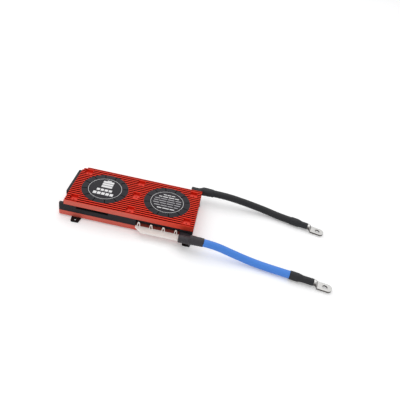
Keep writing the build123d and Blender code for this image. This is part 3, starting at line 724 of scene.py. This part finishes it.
def label_bars(bars, material):
    """Flat printed bars: middle, size and turn of each, in one sheet of ink."""
    made = []
    for x, y, length, width, turn in bars:
        bpy.ops.mesh.primitive_plane_add(size=1.0, location=(x, y, FILM_TOP), rotation=(0.0, 0.0, turn))
        bar = bpy.context.active_object
        bar.scale = (length, width, 1.0)
        bpy.ops.object.transform_apply(location=True, rotation=True, scale=True)
        made.append(bar)
    for bar in made:
        bar.select_set(True)
    bpy.ops.object.join()
    sheet = bpy.context.active_object
    bpy.ops.object.mode_set(mode="EDIT")
    bpy.ops.mesh.select_all(action="SELECT")
    bpy.ops.mesh.bevel(offset=PRINT_CORNER, segments=3, affect="VERTICES", clamp_overlap=True)
    bpy.ops.object.mode_set(mode="OBJECT")
    apply(sheet, "ink", "SOLIDIFY", thickness=PRINT_THICKNESS, offset=1.0)
    paint(sheet, material)
    return sheet


def label_ring(centre):
    """Thin printed ring."""
    bpy.ops.mesh.primitive_circle_add(
        vertices=ROUND_STEPS, radius=RING_RADIUS, fill_type="NOTHING", location=(*centre, FILM_TOP)
    )
    ring = bpy.context.active_object
    bpy.ops.object.transform_apply(location=True, rotation=True, scale=True)
    bpy.ops.object.mode_set(mode="EDIT")
    bpy.ops.mesh.select_all(action="SELECT")
    bpy.ops.mesh.extrude_edges_move()
    grown = 1.0 + RING_WIDTH / RING_RADIUS
    bpy.ops.transform.resize(value=(grown, grown, 1.0), center_override=(*centre, FILM_TOP))
    bpy.ops.mesh.select_all(action="SELECT")
    bpy.ops.mesh.normals_make_consistent(inside=False)
    bpy.ops.object.mode_set(mode="OBJECT")
    apply(ring, "ink", "SOLIDIFY", thickness=PRINT_THICKNESS, offset=0.0)
    paint(ring, label_white)
    return ring


def label(name, white_bars, grey_bars):
    """Charcoal film with its cuts, ring and printed bars, placed from the label's middle in millimetres."""
    x, y = LABEL_PLACES[name]
    middle = (CUT_START + CUT_END) / 2
    length = CUT_END - CUT_START
    turns = [math.radians(angle) for angle in CUT_ANGLES]
    cuts = [
        (x + middle * math.cos(turn), y + middle * math.sin(turn), length, CUT_WIDTH, turn) for turn in turns
    ]
    pieces = [label_film_disc(name), label_bars(cuts, label_dark), label_ring((x, y))]
    for bars, ink in ((white_bars, label_white), (grey_bars, label_grey)):
        if bars:
            placed = [(x + a * MM, y + b * MM, long * MM, wide * MM, 0.0) for a, b, long, wide in bars]
            pieces.append(label_bars(placed, ink))
    bpy.ops.object.select_all(action="DESELECT")
    for piece in pieces:
        piece.select_set(True)
    bpy.context.view_layer.objects.active = pieces[0]
    bpy.ops.object.join()
    whole = bpy.context.active_object
    whole.name = name + "_piece"
    bpy.ops.object.shade_smooth_by_angle(angle=SMOOTH_ANGLE)
    stand_in(whole, name)


# Bars in millimetres: middle across and up, length and width
BATTERY_SIGN = [(1.0, 18.5, 6.0, 1.8)] + [(1.0, up, 15.0, 4.2) for up in (15.1, 9.9, 4.7)]
UPPER_BLOCKS = [(across, -3.6, 4.4, 4.6) for across in (-8.4, -2.8, 2.8, 8.4)]
LOWER_BLOCKS = [(across, -11.6, 4.6, 5.4) for across in (-11.2, -5.4, 0.4, 6.2, 12.0)]
# Rows of bars in millimetres: height of the row, then middle and length of each bar
WHITE_ROWS = {
    15.2: [(-5.6, 4.4), (0.2, 5.4), (6.2, 4.6)],
    10.4: [(-11.2, 4.6), (-4.2, 7.4), (4.4, 7.6), (12.0, 5.6)],
    -14.6: [(-8.2, 6.2), (0.6, 9.0), (9.4, 6.4)],
}
WHITE_ROW_WIDTH = 1.6
GREY_ROWS = {
    5.6: [(-14.6, 7.6), (-5.4, 8.6), (4.6, 9.2), (14.8, 8.0)],
    0.8: [(-15.6, 6.2), (-6.4, 10.2), (5.2, 10.8), (15.8, 7.0)],
    -4.0: [(-14.8, 8.4), (-5.2, 8.4), (4.8, 9.2), (14.8, 8.4)],
    -9.2: [(-12.6, 8.2), (-3.0, 8.6), (6.0, 7.2), (13.8, 5.6)],
}
GREY_ROW_WIDTH = 1.5


def bars_in_rows(rows, width):
    """The bars of several rows, all of one width."""
    return [(across, up, length, width) for up, row in rows.items() for across, length in row]


label("label_left", BATTERY_SIGN + UPPER_BLOCKS + LOWER_BLOCKS, [])
label("label_right", bars_in_rows(WHITE_ROWS, WHITE_ROW_WIDTH), bars_in_rows(GREY_ROWS, GREY_ROW_WIDTH))


# Power leads
# Routes in millimetres, lengths in metres

LEAD_RADIUS = 5.2 * MM
BLUE_ROUTE = [
    (98.5, -55.3, 18.3),
    (115.0, -55.5, 17.8),
    (141.0, -56.7, 11.2),
    (168.0, -59.1, 6.3),
    (193.0, -63.0, 5.9),
    (218.2, -66.5, 6.1),
]
BLACK_ROUTE = [
    (98.5, 55.3, 18.3),
    (118.0, 55.5, 18.3),
    (146.0, 57.2, 13.3),
    (178.0, 56.4, 8.0),
    (204.0, 50.7, 5.6),
    (220.3, 47.0, 6.1),
]


def power_lead(colour, route, material):
    """Insulated lead on one smooth curve, from its sleeve to its end shrink."""
    name = colour + "_lead"
    curve = bpy.data.curves.new(name, "CURVE")
    curve.dimensions = "3D"
    spline = curve.splines.new("NURBS")
    spline.points.add(len(route) - 1)
    for point, place in zip(spline.points, route):
        point.co = (place[0] * MM, place[1] * MM, place[2] * MM, 1.0)
    spline.order_u = 3
    spline.use_endpoint_u = True
    spline.resolution_u = 24
    curve.bevel_depth = LEAD_RADIUS
    curve.bevel_resolution = 10
    curve.use_fill_caps = True
    piece = bpy.data.objects.new(name + "_line", curve)
    bpy.context.scene.collection.objects.link(piece)
    piece.data.materials.append(material)
    stand_in(piece, name)


power_lead("blue", BLUE_ROUTE, blue_silicone)
power_lead("black", BLACK_ROUTE, black_silicone)


# Floor, light and camera

FLOOR_SIZE = 8.0
FLOOR_MIDDLE = (0.1, 0.0, 0.0)
FLOOR_WHITE = (0.96, 0.96, 0.965, 1.0)
FLOOR_LIFT = 0.21
SKY_WHITE = (1.0, 1.0, 1.0, 1.0)
SKY_FILL = 0.58
SKY_SEEN = 1.0
SENSOR_WIDTH = 36.0
LENS = 43.1
CAMERA_PLACE = (0.0950, -0.5190, 0.4376)
CAMERA_RIGHT = Vector((0.9772, 0.1425, 0.1577))
CAMERA_UP = Vector((-0.2117, 0.5880, 0.7807))
CAMERA_BACK = Vector((0.0185, -0.7962, 0.6047))


def background_ray(tree):
    """One on the rays that show the background: the camera's, and those in gloss and clear things."""
    ray = add(tree, "ShaderNodeLightPath")
    direct = add(
        tree, "ShaderNodeMath", operation="MAXIMUM",
        links={0: ray.outputs["Is Camera Ray"], 1: ray.outputs["Is Glossy Ray"]},
    )
    seen = add(
        tree, "ShaderNodeMath", operation="MAXIMUM",
        links={0: direct.outputs["Value"], 1: ray.outputs["Is Transmission Ray"]},
    )
    return seen.outputs["Value"]


def white_table():
    """Matt white table top: plain white that keeps soft shadows."""
    material, tree = start_material("white_table")
    shade = add(tree, "ShaderNodeBsdfDiffuse", values={"Color": FLOOR_WHITE})
    lift = add(
        tree, "ShaderNodeMath", operation="MULTIPLY",
        values={1: FLOOR_LIFT},
        links={0: background_ray(tree)},
    )
    glow = add(tree, "ShaderNodeEmission", links={"Strength": lift.outputs["Value"]})
    both = add(tree, "ShaderNodeAddShader", links={0: shade.outputs["BSDF"], 1: glow.outputs["Emission"]})
    add(tree, "ShaderNodeOutputMaterial", links={"Surface": both.outputs["Shader"]})
    return material


def studio_sky():
    """White surroundings, weaker as a light than as a background."""
    world = bpy.data.worlds.new("studio")
    world.use_nodes = True
    tree = world.node_tree
    tree.nodes.clear()
    strength = add(
        tree, "ShaderNodeMapRange",
        values={"To Min": SKY_FILL, "To Max": SKY_SEEN},
        links={"Value": background_ray(tree)},
    )
    sky = add(
        tree, "ShaderNodeBackground",
        values={"Color": SKY_WHITE},
        links={"Strength": strength.outputs["Result"]},
    )
    add(tree, "ShaderNodeOutputWorld", links={"Surface": sky.outputs["Background"]})
    return world


def soft_box(name, place, target, size, power):
    """Large square studio light aimed at a point."""
    lamp = bpy.data.lights.new(name, "AREA")
    lamp.shape = "SQUARE"
    lamp.size = size
    lamp.energy = power
    holder = bpy.data.objects.new(name, lamp)
    bpy.context.scene.collection.objects.link(holder)
    holder.location = place
    holder.rotation_mode = "QUATERNION"
    holder.rotation_quaternion = (Vector(target) - Vector(place)).to_track_quat("-Z", "Y")


bpy.ops.mesh.primitive_plane_add(size=FLOOR_SIZE, location=FLOOR_MIDDLE)
floor = bpy.context.active_object
floor.name = "floor"
paint(floor, white_table())
bpy.context.scene.world = studio_sky()
soft_box("top_light", place=(-0.25, 0.6, 1.7), target=(0.08, 0.0, 0.0), size=2.6, power=18.5)
soft_box("front_light", place=(-0.6, -1.2, 0.7), target=(0.0, 0.0, 0.0), size=1.0, power=2.5)

camera = bpy.data.cameras.new("camera")
camera.sensor_width = SENSOR_WIDTH
camera.lens = LENS
camera_holder = bpy.data.objects.new("camera", camera)
bpy.context.scene.collection.objects.link(camera_holder)
turn = Matrix((CAMERA_RIGHT, CAMERA_UP, CAMERA_BACK)).transposed().to_4x4()
camera_holder.matrix_world = Matrix.Translation(CAMERA_PLACE) @ turn
bpy.context.scene.camera = camera_holder
bpy.context.scene.view_settings.view_transform = "Standard"
